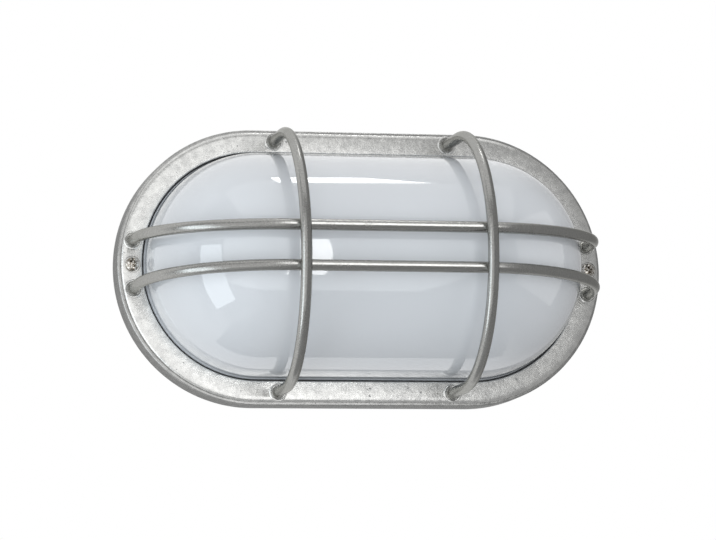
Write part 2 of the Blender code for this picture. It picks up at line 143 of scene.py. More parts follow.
def turned_form(profile, where, closed=False):
    """Turns a profile of (radius, height) points around an axis that points off the wall."""
    form = bmesh.new()
    rows = []
    for radius, height in profile:
        row = []
        for step in range(turn_steps):
            angle = 2 * pi * step / turn_steps
            point = Vector((radius * cos(angle), radius * sin(angle), height))
            row.append(form.verts.new(where + off_wall @ point))
        rows.append(row)
    join_rows(form, rows, closed)
    if not closed:
        form.faces.new(rows[0])
        form.faces.new(rows[-1])
    return form

# %% From a form to a piece of the lamp
weld_distance = 1e-7
smooth_angle = radians(32)


def mesh_object(name, form):
    """Makes an object of a form: points in one place are joined, and all faces look out."""
    bmesh.ops.remove_doubles(form, verts=form.verts, dist=weld_distance)
    bmesh.ops.recalc_face_normals(form, faces=form.faces)
    mesh = bpy.data.meshes.new(name)
    form.to_mesh(mesh)
    form.free()
    made = bpy.data.objects.new(name, mesh)
    bpy.context.collection.objects.link(made)
    return made


def lamp_piece(piece, finish, slot, *measured):
    """Gives a piece its finish, and puts it in the place of the measured ones."""
    piece.data.materials.clear()
    piece.data.materials.append(finish)
    piece.data.shade_smooth()
    piece.data.set_sharp_from_angle(angle=smooth_angle)
    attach(piece, "root")
    if measured:
        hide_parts(*measured)
    print("made", piece.name, "for", measured)
    return piece

# %% Cutting
def apply_changes(piece):
    """Replaces the mesh by the one its modifiers make."""
    changed = piece.evaluated_get(bpy.context.evaluated_depsgraph_get())
    mesh = bpy.data.meshes.new_from_object(changed)
    piece.modifiers.clear()
    piece.data = mesh


def cut(piece, tools, operation="DIFFERENCE"):
    """Cuts all tools out of the piece, or joins them to it, and throws the tools away."""
    for tool in tools:
        change = piece.modifiers.new(tool.name, "BOOLEAN")
        change.operation = operation
        change.solver = "EXACT"
        change.object = tool
    bpy.context.view_layer.update()
    apply_changes(piece)
    for tool in tools:
        bpy.data.objects.remove(tool, do_unlink=True)


def drill(name, profile, x, up):
    """A turned tool at this place; the heights of its profile count from the wall."""
    return mesh_object(name, turned_form(profile, spot(x, up, 0)))


def bore(name, radius, span, x, up):
    """A straight drill from the first height of the span to the second."""
    bottom, top = span
    return drill(name, [(radius, bottom), (radius, top)], x, up)

# %% [markdown]
# ## Helpers for finishes
# A finish is a node tree on Blender's Principled shader. What is the same all over the
# surface is set on the shader's own sockets. What varies, such as pits, wear and grain,
# comes from noise in the object's own metres: a scale of 300 makes about 300 marks in a metre.

# %% A new finish
def shader_of(finish):
    return finish.node_tree.nodes["Principled BSDF"]


def new_finish(name, colour, metallic, roughness):
    """A finish that is still the same all over; what varies is connected later."""
    finish = bpy.data.materials.new(name)
    finish.use_nodes = True
    shader = shader_of(finish)
    shader.inputs["Base Color"].default_value = (*colour, 1)
    shader.inputs["Metallic"].default_value = metallic
    shader.inputs["Roughness"].default_value = roughness
    finish.diffuse_color = (*colour, 1)
    print("finish:", name)
    return finish

# %% Nodes
def add_node(finish, kind, **values):
    node = finish.node_tree.nodes.new(kind)
    for name, value in values.items():
        setattr(node, name, value)
    return node


def connect(finish, source, target):
    finish.node_tree.links.new(source, target)


def places(finish, stretch=(1, 1, 1), turn=(0, 0, 0), source="Object"):
    """The surface's own coordinates in metres, turned and stretched."""
    place = add_node(finish, "ShaderNodeTexCoord")
    mapping = add_node(finish, "ShaderNodeMapping")
    mapping.inputs["Rotation"].default_value = turn
    mapping.inputs["Scale"].default_value = stretch
    connect(finish, place.outputs[source], mapping.inputs["Vector"])
    return mapping.outputs["Vector"]

# %% Noise, cells and ramps
def noise(finish, where, scale, detail, rough=0.55):
    """Cloudy values from 0 to 1; detail adds finer clouds, and rough makes them stronger."""
    node = add_node(finish, "ShaderNodeTexNoise")
    node.inputs["Scale"].default_value = scale
    node.inputs["Detail"].default_value = detail
    node.inputs["Roughness"].default_value = rough
    connect(finish, where, node.inputs["Vector"])
    return node.outputs["Fac"]


def cells(finish, where, scale):
    """Flakes, each in a random tone of its own."""
    node = add_node(finish, "ShaderNodeTexVoronoi")
    node.inputs["Scale"].default_value = scale
    connect(finish, where, node.inputs["Vector"])
    return node.outputs["Color"]


def ramp(finish, source, stops):
    """A colour ramp; a stop is a place from 0 to 1 with a grey or a colour."""
    node = add_node(finish, "ShaderNodeValToRGB")
    marks = node.color_ramp.elements
    while len(marks) < len(stops):
        marks.new(0.5)
    for mark, (place, colour) in zip(marks, stops):
        mark.position = place
        grey = (colour, colour, colour) if isinstance(colour, (int, float)) else colour
        mark.color = (*grey, 1)
    connect(finish, source, node.inputs["Fac"])
    return node.outputs["Color"]

# %% Mixing and relief
mix_share = 0
mix_first_colour = 6
mix_second_colour = 7
mix_colour_result = 2


def mixed(finish, share, first, second, blend="MIX"):
    """Mixes two colours or sockets by a share, which is a number or a socket."""
    node = add_node(finish, "ShaderNodeMix", data_type="RGBA", blend_type=blend)
    sources = ((share, mix_share), (first, mix_first_colour), (second, mix_second_colour))
    for value, number in sources:
        target = node.inputs[number]
        if isinstance(value, bpy.types.NodeSocket):
            connect(finish, value, target)
        elif isinstance(value, (int, float)):
            target.default_value = value
        else:
            target.default_value = (*value, 1)
    return node.outputs[mix_colour_result]


def relief(finish, height, strength, depth, under=None):
    """Bumps of this depth in metres, on top of the relief under them."""
    node = add_node(finish, "ShaderNodeBump")
    node.inputs["Strength"].default_value = strength
    node.inputs["Distance"].default_value = depth
    connect(finish, height, node.inputs["Height"])
    if under is not None:
        connect(finish, under, node.inputs["Normal"])
    return node.outputs["Normal"]


def wear(finish, colour=None, roughness=None, normal=None):
    """Connects what varies to the shader."""
    shader = shader_of(finish)
    for source, name in ((colour, "Base Color"), (roughness, "Roughness"), (normal, "Normal")):
        if source is not None:
            connect(finish, source, shader.inputs[name])

# %% [markdown]
# ## The cast finish
# The ring comes out of a sand mould, is sanded by hand and left bare. Its face is pale and
# restless: soft mottling a few millimetres wide, short sanding strokes, and a few pits where
# sand grains sat, sunk in the relief and coloured dark grey as painted shade in their hollows.
# Noise at four scales makes all of it, so no picture is needed and the marks run on around
# every edge. Bare cast metal also turns darker towards its rounded edges, which the
# shader's edge tint gives.

# %% Cast metal of the ring
cast_light = (0.84, 0.84, 0.82)
cast_dark = (0.60, 0.60, 0.59)
pit_shade_grey = (0.32, 0.32, 0.32)
edge_tint = (0.30, 0.30, 0.30, 1)


def cast_finish(name, light, dark, stroke_turn):
    """Mottled cast metal with sanding strokes in one direction and a few pits."""
    finish = new_finish(name, light, metallic=0.90, roughness=0.42)
    shader_of(finish).inputs["Specular Tint"].default_value = edge_tint
    plain = places(finish)
    strokes = places(finish, stretch=(1, 1, 6), turn=(0, stroke_turn, 0))
    mottle = noise(finish, plain, scale=300, detail=6, rough=0.60)
    sanded = noise(finish, strokes, scale=330, detail=5, rough=0.60)
    grain = noise(finish, plain, scale=1500, detail=3, rough=0.60)
    specks = noise(finish, plain, scale=520, detail=2, rough=0.40)
    sparse = noise(finish, plain, scale=70, detail=2, rough=0.50)
    body = mixed(finish, ramp(finish, mottle, [(0.32, 0), (0.66, 1)]), dark, light)
    scuffed = mixed(finish, ramp(finish, sanded, [(0.50, 0), (0.66, 0.5)]), body, light)
    pits = ramp(finish, specks, [(0.72, 0), (0.79, 1)])
    few = ramp(finish, sparse, [(0.50, 0), (0.56, 1)])
    holes = mixed(finish, 1.0, pits, few, blend="MULTIPLY")
    # The pits are coloured dark grey: painted shade in their hollows, over their sunk relief.
    colour = mixed(finish, holes, scuffed, pit_shade_grey)
    rough = ramp(finish, grain, [(0.3, 0.20), (0.7, 0.31)])
    skin = relief(finish, mottle, strength=0.30, depth=0.0004)
    skin = relief(finish, sanded, strength=0.25, depth=0.0002, under=skin)
    skin = relief(finish, grain, strength=0.13, depth=0.0001, under=skin)
    sunk = mixed(finish, 1.0, (1, 1, 1), holes, blend="SUBTRACT")
    skin = relief(finish, sunk, strength=0.50, depth=0.0003, under=skin)
    wear(finish, colour, rough, skin)
    return finish


cast_metal = cast_finish("cast_metal", cast_light, cast_dark, radians(35))

# %% [markdown]
# ## The front ring
# The ring is a flat casting, three millimetres thick. Its outer edge is hand sanded, so the
# face rolls away gently over its last three millimetres. A bevel would round it evenly; an
# arc of an ellipse, wide and shallow, gives the real roll. The ring has eight sockets that
# the guard wires are pressed into, and a sunk seat for each cover screw. The section is
# swept around the oval, and then drilled. The mouths of the sockets are flared, which gives
# the dark crescents at the feet of the wires.

# %% Section of the ring
edge_width = 0.0030
edge_drop = 0.0014
edge_steps = 14
opening_chamfer = 0.0007
chamfer_steps = 4
lower_bevel_in = 0.0004
lower_bevel_up = 0.0003

roll_centre = (ring_radius - edge_width, face_height - edge_drop)
chamfer_centre = (opening_radius + opening_chamfer, face_height - opening_chamfer)
ring_section = [
    (opening_radius, ring_underside),
    (ring_radius - lower_bevel_in, ring_underside),
    (ring_radius, ring_underside + lower_bevel_up),
]
ring_section += arc(roll_centre, edge_width, edge_drop, 0, pi / 2, edge_steps)
ring_section += arc(chamfer_centre, opening_chamfer, opening_chamfer, pi / 2, pi, chamfer_steps)
front_ring = mesh_object("front_ring", sweep_oval(ring_section))
print("points in the ring's section:", len(ring_section))

# %% Places of the sockets
wire_radius = 0.0030
hoop_foot_x = 0.0485
long_wire_foot_up = 0.0132
long_wire_foot_x = half_straight + sqrt(wire_ring_radius**2 - long_wire_foot_up**2)

sockets = [(x * hoop_foot_x, up * wire_ring_radius) for x in (-1, 1) for up in (-1, 1)]
sockets += [(x * long_wire_foot_x, up * long_wire_foot_up) for x in (-1, 1) for up in (-1, 1)]
print("sockets:", len(sockets))

# %% Drill the ring
socket_radius = wire_radius + touch_gap
mouth_radius = 0.0036
mouth_depth = 0.0009
screw_x = 0.1275
screw_bore = 0.0023
screw_seat = 0.0174
seat_radius = 0.0044
seat_flare = 0.0003
drill_over = 0.0010

socket_profile = [
    (socket_radius, ring_underside - drill_over),
    (socket_radius, face_height - mouth_depth),
    (mouth_radius, face_height),
    (mouth_radius, face_height + drill_over),
]
seat_profile = [
    (screw_bore, ring_underside - drill_over),
    (screw_bore, screw_seat),
    (seat_radius, screw_seat),
    (seat_radius + seat_flare, face_height + seat_flare),
    (seat_radius + seat_flare, face_height + drill_over),
]
drills = [drill(f"socket_drill_{n}", socket_profile, x, up) for n, (x, up) in enumerate(sockets)]
drills += [drill(f"seat_drill_{side}", seat_profile, side * screw_x, 0) for side in (-1, 1)]
cut(front_ring, drills)
lamp_piece(front_ring, cast_metal, "cast_aluminium", "front_frame")

# %% [markdown]
# ## Collars around the sockets
# Where the wires are pressed in, the casting is pushed up into a low uneven collar, and its
# metal closes in on the wire. Equal rings would look like washers, so each collar is a thin
# ring in code with a wavy height and width of its own, sunk halfway into the face. A turned
# ring inside it fills the flared mouth up to the wire.

# %% Uneven collars
collar_radius = 0.0044
collar_width = 0.0007
collar_height = 0.00055
collar_sunk = 0.0001
collar_steps = 60
collar_sides = 12
slow_swell = 0.25
quick_swell = 0.16


def collar_rows(form, x, up, number):
    """One collar: its width and height swell and shrink around it."""
    rows = []
    for step in range(collar_steps):
        angle = 2 * pi * step / collar_steps
        swell = 1 + slow_swell * sin(2 * angle + number) + quick_swell * sin(5 * angle + 2 * number)
        row = []
        for side in range(collar_sides):
            around = 2 * pi * side / collar_sides
            radius = collar_radius + collar_width * swell * cos(around)
            height = face_height - collar_sunk + collar_height * swell * sin(around)
            point = spot(x + radius * cos(angle), up + radius * sin(angle), height)
            row.append(form.verts.new(point))
        rows.append(row)
    join_rows(form, rows, closed=True)


collars = bmesh.new()
for number, (x, up) in enumerate(sockets):
    collar_rows(collars, x, up, number)
lamp_piece(mesh_object("socket_collars", collars), cast_metal, "cast_aluminium")

# %% Metal pressed against the wires
swage_depth = 0.00025
swage_bite = 0.0001
swage_cover = 0.0002
swage_slope = 0.0001
swage_bottom = 0.0022

swage_profile = [
    (wire_radius - swage_bite, face_height - swage_bottom),
    (wire_radius - swage_bite, face_height - swage_depth),
    (mouth_radius + swage_cover, face_height - swage_slope),
    (mouth_radius + swage_cover, face_height - swage_bottom),
]
for number, (x, up) in enumerate(sockets):
    swage = mesh_object(f"swage_{number}", turned_form(swage_profile, spot(x, up, 0), closed=True))
    lamp_piece(swage, cast_metal, "cast_aluminium")

# %% [markdown]
# ## The housing
# The housing behind the ring is nearly two millimetres wider all around, so its rim shows
# as a thin shoulder with a shadow line along the seam. It comes from the same mould shop
# and gets the ring's cast finish, but its colours are set darker than the ring's: painted
# shade for its side wall. Its back is hollow around the rim and flat in the middle, where
# it is screwed to the wall. It could be carved from a block, but a section that is swept
# and capped gives its wall, ledge and hollow at once.

# %% Finish and section of the housing
# Colours darker than the ring's: painted shade for the housing's side wall.
shaded_housing_light = (0.50, 0.50, 0.49)
shaded_housing_dark = (0.36, 0.36, 0.355)
shaded_housing_finish = cast_finish("housing_metal", shaded_housing_light, shaded_housing_dark, radians(-20))
plate_thickness = 0.0035
ledge_radius = 0.0580
ledge_height = 0.0090
rebate_radius = 0.0647
groove_inner = 0.0615
groove_outer = 0.0723
groove_depth = 0.0055
rim_edge = 0.0008
rim_edge_steps = 6

rim_centre = (housing_radius - rim_edge, rim_height - rim_edge)
housing_section = [
    (ledge_radius, plate_thickness),
    (ledge_radius, ledge_height),
    (rebate_radius, ledge_height),
    (rebate_radius, rim_height),
]
housing_section += arc(rim_centre, rim_edge, rim_edge, pi / 2, 0, rim_edge_steps)
housing_section += [
    (housing_radius, 0),
    (groove_outer, 0),
    (groove_outer, groove_depth),
    (groove_inner, groove_depth),
    (groove_inner, 0),
]
housing = mesh_object("housing", sweep_oval(housing_section, closed=False, capped=True))
print("points in the housing's section:", len(housing_section))

# %% Pads of the housing
pad_places = [(-0.0890, -0.0110), (-0.0890, 0.0110), (0.0700, -0.0380)]
pad_profile = [(0.0049, 0.0017), (0.0045, 0.0075), (0.0042, 0.0080)]
pads = [drill(f"pad_{n}", pad_profile, x, up) for n, (x, up) in enumerate(pad_places)]
cut(housing, pads, "UNION")
print("pads:", len(pad_places))

# %% Holes of the housing
pad_bore = 0.0023
pad_span = (0.0015, 0.0090)
rim_span = (0.0080, 0.0157)
blind_span = (0.0010, 0.0045)
through_span = (-0.0010, 0.0045)
block_bore = 0.0018
block_place = (0.0750, 0.0050)
entry_radius = 0.0090
entry_place = (0.1000, 0)
fixing_hole = 0.0026
fixing_places = [(x * 0.0350, up * 0.0400) for x in (-1, 1) for up in (-1, 1)]

holes = []
for number, (x, up) in enumerate(pad_places):
    holes.append(bore(f"pad_bore_{number}", pad_bore, pad_span, x, up))
for side in (-1, 1):
    holes.append(bore(f"rim_bore_{side}", screw_bore, rim_span, side * screw_x, 0))
holes.append(bore("block_bore", block_bore, blind_span, *block_place))
holes.append(bore("cable_entry", entry_radius, through_span, *entry_place))
for number, (x, up) in enumerate(fixing_places):
    holes.append(bore(f"fixing_hole_{number}", fixing_hole, through_span, x, up))
cut(housing, holes)
lamp_piece(housing, shaded_housing_finish, "cast_aluminium", "back_housing")

# %% [markdown]
# ## The opal glass
# The dome is blown into a mould from white glass with a glossy skin. Each end is a quarter
# of an ellipsoid and its middle half a barrel, so it mirrors each light twice. Opal glass
# spreads the light inside it, but from outside it reads as a cool white body under a
# clear gloss. Scattering could be rendered, but takes long and looks the same here, so the
# shader gets a pale blue-white colour, a clear coat and little else. Its faint clouds come
# from a wide noise. A low bead runs around its foot, inside the ring.

# %% Finish of the opal glass
opal_light = (0.76, 0.79, 0.83)
opal_shade = (0.74, 0.77, 0.81)
opal_glass = new_finish("opal_glass", opal_light, metallic=0, roughness=0.10)
opal = shader_of(opal_glass)
opal.inputs["IOR"].default_value = 1.5
opal.inputs["Coat Weight"].default_value = 1
opal.inputs["Coat Roughness"].default_value = 0.02
clouds = noise(opal_glass, places(opal_glass), scale=22, detail=3, rough=0.50)
cloud_share = ramp(opal_glass, clouds, [(0.3, 0), (0.7, 1)])
opal_colour = mixed(opal_glass, cloud_share, opal_shade, opal_light)
opal_skin = relief(opal_glass, clouds, strength=0.02, depth=0.001)
opal_gloss = ramp(opal_glass, clouds, [(0.3, 0.03), (0.7, 0.06)])
wear(opal_glass, opal_colour, opal_gloss, opal_skin)

# %% Flange and bead at the foot of the glass
glass_wall = 0.0035
flange_radius = 0.0644
flange_top = 0.0136
flange_bottom = 0.0111
flange_bevel = 0.0004
neck_top = 0.0151
bead_radius = 0.0615
bead_bottom = 0.0156
bead_top = 0.0166
bead_shoulder = 0.0173
bead_slope = 0.0002

flange = [
    (glass_radius - glass_wall, flange_bottom),
    (flange_radius - flange_bevel, flange_bottom),
    (flange_radius, flange_bottom + flange_bevel),
    (flange_radius, flange_top - flange_bevel),
    (flange_radius - flange_bevel, flange_top),
    (glass_radius, flange_top),
]
bead = [
    (glass_radius, neck_top),
    (bead_radius, bead_bottom),
    (bead_radius, bead_top),
    (bead_radius - bead_slope, bead_shoulder),
]
print("flange sticks out:", flange_radius - glass_radius)

# %% Dome of the glass
dome_steps = 48
dome_middle = (0, face_height)
inner_radius = glass_radius - glass_wall
inner_height = dome_height - glass_wall

inner_dome = arc(dome_middle, inner_radius, inner_height, pi / 2, 0, dome_steps)
outer_dome = arc(dome_middle, glass_radius, dome_height, 0, pi / 2, dome_steps)
glass_section = inner_dome + flange + bead + outer_dome
glass = mesh_object("glass_dome", sweep_oval(glass_section, closed=False))
lamp_piece(glass, opal_glass, "opal_glass", "glass_diffuser")

# %% [markdown]
# ## The guard wires
# The guard is bent from bright round steel wire: two hoops over the dome, and two long
# wires under them along the lamp. Each wire leaves its socket straight and then bends in a
# quarter of an ellipse. A bevelled curve would be the quick way. Here it is a tube of many
# rings along that path, with a coordinate that runs along the wire, so that its drawing
# marks follow every bend.

# %% Satin steel of the wires
wire_light = (0.46, 0.46, 0.445)
wire_dark = (0.31, 0.31, 0.30)
wire_edge_tint = (0.70, 0.70, 0.68, 1)
wire_steel = new_finish("wire_steel", wire_light, metallic=1.0, roughness=0.34)
shader_of(wire_steel).inputs["Specular Tint"].default_value = wire_edge_tint
along_wire = places(wire_steel, stretch=(1, 5, 1), source="UV")
drawn = noise(wire_steel, along_wire, scale=14, detail=5, rough=0.65)
plain_wire = places(wire_steel)
patches = noise(wire_steel, plain_wire, scale=130, detail=5, rough=0.60)
nicks = noise(wire_steel, plain_wire, scale=900, detail=3, rough=0.60)
drawn_share = ramp(wire_steel, drawn, [(0.35, 0), (0.65, 1)])
wire_body = mixed(wire_steel, drawn_share, wire_dark, wire_light)
patch_share = ramp(wire_steel, patches, [(0.55, 0), (0.72, 0.5)])
wire_colour = mixed(wire_steel, patch_share, wire_body, wire_dark)
wire_rough = ramp(wire_steel, patches, [(0.35, 0.17), (0.7, 0.30)])
wire_skin = relief(wire_steel, drawn, strength=0.25, depth=0.0002)
wire_skin = relief(wire_steel, nicks, strength=0.22, depth=0.0001, under=wire_skin)
wear(wire_steel, wire_colour, wire_rough, wire_skin)

# %% Rings along a path
wire_sides = 40
wrap_around = 1.9
wrap_along = 20


def tube_rows(form, path, radius):
    """Rings of points along the path, each turned on from the one before, and their lengths."""
    tangent = (path[1] - path[0]).normalized()
    across = tangent.orthogonal().normalized()
    rows = []
    lengths = []
    length = 0
    for number, point in enumerate(path):
        ahead = path[min(number + 1, len(path) - 1)] - path[max(number - 1, 0)]
        turn = tangent.rotation_difference(ahead.normalized())
        across = turn @ across
        tangent = ahead.normalized()
        other = tangent.cross(across)
        if number:
            length += (point - path[number - 1]).length
        lengths.append(length)
        angles = [2 * pi * side / wire_sides for side in range(wire_sides)]
        rows.append([form.verts.new(point + radius * (cos(a) * across + sin(a) * other)) for a in angles])
    return rows, lengths

# %% A tube along a path
def tube(name, path, radius):
    """A round wire with flat ends; its UV coordinates run around it and along it."""
    form = bmesh.new()
    wrap = form.loops.layers.uv.new("along")
    rows, lengths = tube_rows(form, path, radius)
    for number in range(len(rows) - 1):
        low, high = rows[number], rows[number + 1]
        start, end = lengths[number] * wrap_along, lengths[number + 1] * wrap_along
        for side in range(wire_sides):
            after = (side + 1) % wire_sides
            face = form.faces.new((low[side], low[after], high[after], high[side]))
            left = side / wire_sides * wrap_around
            right = (side + 1) / wire_sides * wrap_around
            for loop, place in zip(face.loops, ((left, start), (right, start), (right, end), (left, end))):
                loop[wrap].uv = place
    form.faces.new(rows[0])
    form.faces.new(rows[-1])
    return mesh_object(name, form)

# %% Half an arch
bend_steps = 60
leg_steps = 6


def half_arch(foot, leg, bend, crest):
    """(distance along, height) points from the ring's underside up to the crest."""
    straight = face_height + leg - ring_underside
    rise = crest - face_height - leg
    legs = [(foot, ring_underside + straight * step / leg_steps) for step in range(leg_steps)]
    return legs + arc((foot - bend, face_height + leg), bend, rise, 0, pi / 2, bend_steps)


def joined_arch(left, right):
    return [(-along, height) for along, height in left] + right[::-1]


def leaned(height, crest, amount):
    """How far a wire has leaned aside at this height; it leans by the amount at its crest."""
    return amount * max(0, height - face_height) / (crest - face_height)

# %% Hoops
wire_clearance = 0.0044
long_crest = face_height + dome_height + wire_clearance + wire_radius
long_lean = 0.0025
hoop_leg = 0.0230
hoop_splay = 0.0019
crossing_up = long_wire_foot_up - long_lean
crossing_height = long_crest + 2 * wire_radius + touch_gap
hoop_rise = crossing_height - face_height - hoop_leg
hoop_crest = face_height + hoop_leg + hoop_rise / sqrt(1 - (crossing_up / wire_ring_radius) ** 2)

half_hoop = half_arch(wire_ring_radius, hoop_leg, wire_ring_radius, hoop_crest)
hoop = joined_arch(half_hoop, half_hoop[:-1])
for side, word in ((-1, "left"), (1, "right")):
    path = []
    for up, height in hoop:
        x = side * (hoop_foot_x + leaned(height, hoop_crest, hoop_splay))
        path.append(spot(x, up, height))
    made = tube("hoop_" + word, path, wire_radius)
    lamp_piece(made, wire_steel, "guard_steel", "guard_hoop_" + word)

# %% Long wires
left_leg = 0.0130
left_bend = 0.0719
right_leg = 0.0030
right_bend = 0.0819

left_half = half_arch(long_wire_foot_x, left_leg, left_bend, long_crest)
right_half = half_arch(long_wire_foot_x, right_leg, right_bend, long_crest)
long_arch = joined_arch(left_half, right_half)
for side, word in ((1, "upper"), (-1, "lower")):
    path = []
    for x, height in long_arch:
        up = side * (long_wire_foot_up - leaned(height, long_crest, long_lean))
        path.append(spot(x, up, height))
    made = tube("long_wire_" + word, path, wire_radius)
    lamp_piece(made, wire_steel, "guard_steel", "guard_wire_" + word)

# %% [markdown]
# ## The cover screws
# Two plated pan head screws hold the ring on. Their heads are turned with a soft shoulder.
# The driver recess is a cross with tapered arms. It could be a dark mark on the head, but a
# cut one catches the light from every side, so two crossed bars are cut out of each head.

# %% Nickel of the screws
nickel_dark = (0.20, 0.17, 0.13)
nickel_light = (0.88, 0.86, 0.82)
screw_nickel = new_finish("screw_nickel", (0.70, 0.66, 0.60), metallic=1.0, roughness=0.18)
tarnish = noise(screw_nickel, places(screw_nickel), scale=1300, detail=4, rough=0.60)
screw_colour = ramp(screw_nickel, tarnish, [(0.44, nickel_dark), (0.58, nickel_light)])
screw_gloss = ramp(screw_nickel, tarnish, [(0.3, 0.08), (0.7, 0.20)])
screw_skin = relief(screw_nickel, tarnish, strength=0.20, depth=0.0001)
wear(screw_nickel, screw_colour, screw_gloss, screw_skin)

# %% Profile of the pan head
head_radius = 0.0037
head_height = 0.0026
head_shoulder = 0.0002
crown_start = 0.0011
crown_steps = 14
screw_rest = screw_seat + touch_gap
screw_tip = 0.0083
shank_radius = 0.0020

head_profile = [
    (shank_radius, screw_tip),
    (shank_radius, screw_rest),
    (head_radius - head_shoulder, screw_rest),
    (head_radius, screw_rest + head_shoulder),
]
crown_middle = (0, screw_rest + crown_start)
crown_height = head_height - crown_start
head_profile += arc(crown_middle, head_radius, crown_height, 0, pi / 2, crown_steps)
print("points in the head's profile:", len(head_profile))

# %% Bars of the cross recess
recess_reach = 0.0024
recess_width = 0.0013
recess_depth = 0.0016
floor_reach = recess_reach * 0.45
floor_width = 0.0006
recess_over = 0.0005
bar_corners = ((-1, -1), (1, -1), (1, 1), (-1, 1))


def recess_bar(name, x, turn):
    """One bar of the cross, wide at the top and narrow at its floor."""
    form = bmesh.new()
    top = screw_rest + head_height + recess_over
    bottom = screw_rest + head_height - recess_depth
    rows = []
    for height, reach, width in ((bottom, floor_reach, floor_width), (top, recess_reach, recess_width)):
        row = []
        for end, edge in bar_corners:
            along = end * reach
            across = edge * width / 2
            shift_x = along * cos(turn) - across * sin(turn)
            shift_up = along * sin(turn) + across * cos(turn)
            row.append(form.verts.new(spot(x + shift_x, shift_up, height)))
        rows.append(row)
    join_rows(form, rows)
    form.faces.new(rows[0])
    form.faces.new(rows[1])
    return mesh_object(name, form)

# %% Pan heads with a cross
for side, word, turn in ((-1, "left", radians(38)), (1, "right", radians(12))):
    head = mesh_object("cross_screw_" + word, turned_form(head_profile, spot(side * screw_x, 0, 0)))
    bars = [recess_bar(f"bar_{word}_{n}", side * screw_x, turn + n * pi / 2) for n in (0, 1)]
    cut(head, bars)
    lamp_piece(head, screw_nickel, "screw_nickel", "cover_screw_" + word)

# %% [markdown]
# ## Finishes of the pieces inside
# The pieces inside keep their measured shapes and only get finishes: rubber for the seals
# and the grommet, glazed porcelain for the lamp holder, zinc on the bracket with its flaked
# crystals, brass for the terminals, and a white moulded terminal block. The bulb is one
# solid, so its metal cap and its frosted glass are told apart by their place along x. One
# helper makes all moulded and glazed finishes and one all bare metals, because they differ
# only in colour, gloss and grain.

# %% Rubber, porcelain and plastic
def grained_finish(name, colour, roughness, scale, depth):
    """A plain moulded or glazed surface with a fine grain."""
    finish = new_finish(name, colour, metallic=0, roughness=roughness)
    grain = noise(finish, places(finish), scale, detail=4, rough=0.60)
    darker = tuple(0.8 * part for part in colour)
    tone = mixed(finish, ramp(finish, grain, [(0.3, 0), (0.7, 1)]), darker, colour)
    gloss = ramp(finish, grain, [(0.3, roughness * 0.85), (0.7, min(1, roughness * 1.2))])
    wear(finish, tone, gloss, relief(finish, grain, strength=0.30, depth=depth))
    return finish


black_rubber = grained_finish("black_rubber", (0.022, 0.022, 0.023), 0.62, 1500, 0.0001)
grey_rubber = grained_finish("grey_rubber", (0.10, 0.10, 0.105), 0.50, 1500, 0.0001)
porcelain = grained_finish("porcelain", (0.80, 0.79, 0.75), 0.16, 260, 0.0002)
white_plastic = grained_finish("white_plastic", (0.78, 0.78, 0.75), 0.42, 1800, 0.00008)

# %% Zinc, nickel and brass
def metal_finish(name, light, dark, roughness, scale):
    """Bare or plated metal with fine flakes and scuffs."""
    finish = new_finish(name, light, metallic=1.0, roughness=roughness)
    where = places(finish)
    flakes = cells(finish, where, scale)
    flake_tone = ramp(finish, flakes, [(0.2, dark), (0.8, light)])
    scuffs = noise(finish, where, scale=700, detail=4, rough=0.60)
    gloss = ramp(finish, scuffs, [(0.3, roughness * 0.8), (0.7, min(1, roughness * 1.5))])
    wear(finish, flake_tone, gloss, relief(finish, scuffs, strength=0.15, depth=0.0001))
    return finish


zinc_steel = metal_finish("zinc_steel", (0.66, 0.67, 0.68), (0.46, 0.47, 0.48), 0.32, 240)
shell_nickel = metal_finish("shell_nickel", (0.68, 0.65, 0.58), (0.58, 0.55, 0.48), 0.26, 900)
brass = metal_finish("brass", (0.78, 0.60, 0.28), (0.62, 0.46, 0.19), 0.28, 700)

# %% Cap and glass of the bulb
cap_end = -0.0361
bulb_glass = new_finish("bulb_glass", (0.88, 0.87, 0.84), metallic=0, roughness=0.30)
bulb_place = add_node(bulb_glass, "ShaderNodeTexCoord").outputs["Object"]
bulb_axes = add_node(bulb_glass, "ShaderNodeSeparateXYZ")
connect(bulb_glass, bulb_place, bulb_axes.inputs["Vector"])
past_cap = add_node(bulb_glass, "ShaderNodeMath", operation="GREATER_THAN")
past_cap.inputs[1].default_value = cap_end
connect(bulb_glass, bulb_axes.outputs["X"], past_cap.inputs[0])
is_glass = past_cap.outputs[0]

# %% Finish of the bulb
# The cap's thread has no shape of its own: its dark bands are painted shade in the grooves, and its light
# bands are painted highlight on the ridges.
painted_thread = add_node(bulb_glass, "ShaderNodeTexWave", wave_type="BANDS", bands_direction="X")
painted_thread.inputs["Scale"].default_value = 45
connect(bulb_glass, bulb_place, painted_thread.inputs["Vector"])
frost = noise(bulb_glass, bulb_place, scale=60, detail=2)
frosted = ramp(bulb_glass, frost, [(0.3, (0.84, 0.83, 0.80)), (0.7, (0.90, 0.89, 0.86))])
painted_thread_stops = [(0.2, (0.40, 0.39, 0.36)), (0.8, (0.72, 0.70, 0.65))]
painted_thread_tone = ramp(bulb_glass, painted_thread.outputs["Fac"], painted_thread_stops)
bulb_tone = mixed(bulb_glass, is_glass, painted_thread_tone, frosted)
is_metal = mixed(bulb_glass, is_glass, (1, 1, 1), (0, 0, 0))
connect(bulb_glass, is_metal, shader_of(bulb_glass).inputs["Metallic"])
bulb_skin = relief(bulb_glass, frost, strength=0.10, depth=0.0002)
wear(bulb_glass, bulb_tone, normal=bulb_skin)

